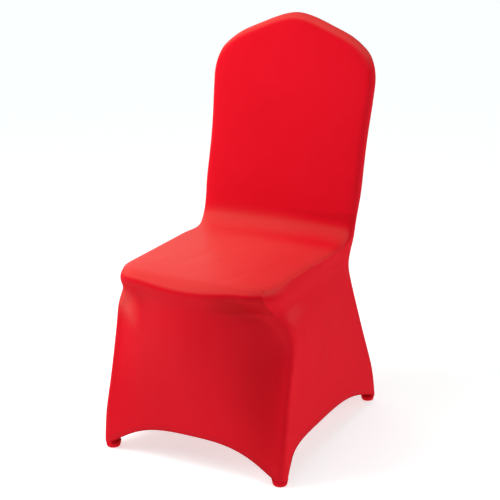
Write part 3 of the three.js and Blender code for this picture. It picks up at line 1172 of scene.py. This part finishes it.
# The rear is out of sight in the photograph; it is as uneven as the front
REAR_FOLDS = (
    Fold((-0.140, 0.230, 0.560), (0.040, 0.255, 0.700), 0.028, 0.0008, ENDWAYS, 0.010),
    Fold((0.160, 0.225, 0.540), (0.030, 0.265, 0.760), 0.026, -0.0007, ENDWAYS),
    Fold((-0.090, 0.270, 0.720), (0.100, 0.300, 0.860), 0.030, 0.0007, ENDWAYS, -0.012),
    Fold((-0.185, 0.200, 0.470), (-0.040, 0.205, 0.435), 0.012, -0.0014, ENDWAYS),
    Fold((0.190, 0.200, 0.480), (0.050, 0.205, 0.430), 0.013, -0.0012, ENDWAYS),
    Fold((-0.170, 0.195, 0.420), (-0.195, 0.245, 0.120), 0.018, 0.0010, ENDWAYS),
    Fold((0.150, 0.195, 0.400), (0.175, 0.240, 0.140), 0.020, 0.0009, ENDWAYS),
    Fold((-0.060, 0.200, 0.400), (-0.080, 0.240, 0.160), 0.018, -0.0008, ENDWAYS),
    Fold((0.050, 0.200, 0.390), (0.035, 0.240, 0.170), 0.016, 0.0007, ENDWAYS),
)

# Runs down the side skirts, from the seat's edge towards the feet
SIDE_FOLDS = (
    Fold((0.195, -0.080, 0.410), (0.220, -0.150, 0.150), 0.018, -0.0008, SIDEWAYS, 0.006),
    Fold((0.193, -0.010, 0.405), (0.210, -0.040, 0.160), 0.018, 0.0008, SIDEWAYS),
    Fold((0.190, 0.060, 0.410), (0.205, 0.070, 0.150), 0.020, -0.0008, SIDEWAYS, -0.006),
    Fold((0.190, 0.130, 0.430), (0.210, 0.190, 0.130), 0.017, 0.0010, SIDEWAYS),
)

# The folds of the left side are a little lower and further to the rear than those of the right
MIRROR_DEPTH = 0.9
MIRROR_SHIFT = 0.015

# Flat cuts in metres
SIDE_CUT = (0.46, 0.40)
SIDE_CUT_AREA = 0.145
FRONT_POCKET_CUT = (0.042, 0.042)
REAR_POCKET_CUT = (0.040, 0.040)


def mirrored(fold: Fold, shift: float) -> Fold:
    """Carry a fold over to the cover's other side, a little off its place.

    Args:
        fold: The fold.
        shift: How far it is moved along the cover, in metres.

    Returns:
        The fold on the other side.
    """
    (x0, y0, z0), (x1, y1, z1) = fold.start, fold.end
    return Fold(
        (-x0, y0 + shift, z0),
        (-x1, y1 + shift, z1),
        fold.width,
        MIRROR_DEPTH * fold.depth,
        fold.facing,
        -fold.sway,
    )


def make_panels() -> list[PanelSheet]:
    """List the cover's panels with their cuts and folds.

    Returns:
        The panels.
    """
    return [
        PanelSheet(
            "front_cloth",
            "front_panel",
            Side.FRONT,
            (0.42, 1.36),
            0.44,
            folds=(*SEAT_FOLDS, *APRON_FOLDS, *BACK_FOLDS),
            painted_light=FRONT_PAINTED_LIGHT,
        ),
        PanelSheet("rear_cloth", "back_panel", Side.REAR, (0.42, 0.86), 0.31, folds=REAR_FOLDS),
        PanelSheet(
            "right_cloth",
            "side_panel_right",
            Side.RIGHT,
            SIDE_CUT,
            SIDE_CUT_AREA,
            folds=SIDE_FOLDS,
        ),
        PanelSheet(
            "left_cloth",
            "side_panel_left",
            Side.LEFT,
            SIDE_CUT,
            SIDE_CUT_AREA,
            folds=tuple(mirrored(fold, MIRROR_SHIFT) for fold in SIDE_FOLDS),
        ),
    ]


def make_pockets() -> list[FootPocket]:
    """List the cover's foot pockets with their cuts.

    Returns:
        The pockets.
    """
    return [
        FootPocket("foot_pocket_front_left", FRONT_POCKET_CUT),
        FootPocket("foot_pocket_front_right", FRONT_POCKET_CUT),
        FootPocket("foot_pocket_rear_left", REAR_POCKET_CUT),
        FootPocket("foot_pocket_rear_right", REAR_POCKET_CUT),
    ]


def main() -> None:
    """Build the cover and the studio in order, and report each piece."""
    logging.basicConfig(level=logging.INFO, format="%(message)s")
    knit = KnitFinish().material()
    thread = ThreadFinish().material()
    panels = make_panels()
    pockets = make_pockets()
    for part in (*panels, *pockets):
        part.lay_out()
    rims = [point for pocket in pockets for point in pocket.edge_points]
    for panel in panels:
        neighbours = [p for other in panels if other is not panel for p in other.edge_points]
        panel.shape(neighbours, rims)
        panel.finish(knit)
        hem = Hem(panel)
        trims = [hem.edge_roll(knit), hem.turned_layer(knit), hem.stitches(thread)]
        panel.declare(trims)
        faces, hem_points = len(panel.mesh.polygons), len(panel.hem_line)
        LOG.info("%s: %d faces, %d hem points", panel.name, faces, hem_points)
    edges = [place for panel in panels for place in panel.border_places()]
    for pocket in pockets:
        pocket.shape(edges)
        pocket.finish(knit)
        pocket.declare()
        LOG.info("%s: %d faces", pocket.piece.name, len(pocket.mesh.polygons))
    Studio().set_up()


if __name__ == "__main__":
    main()
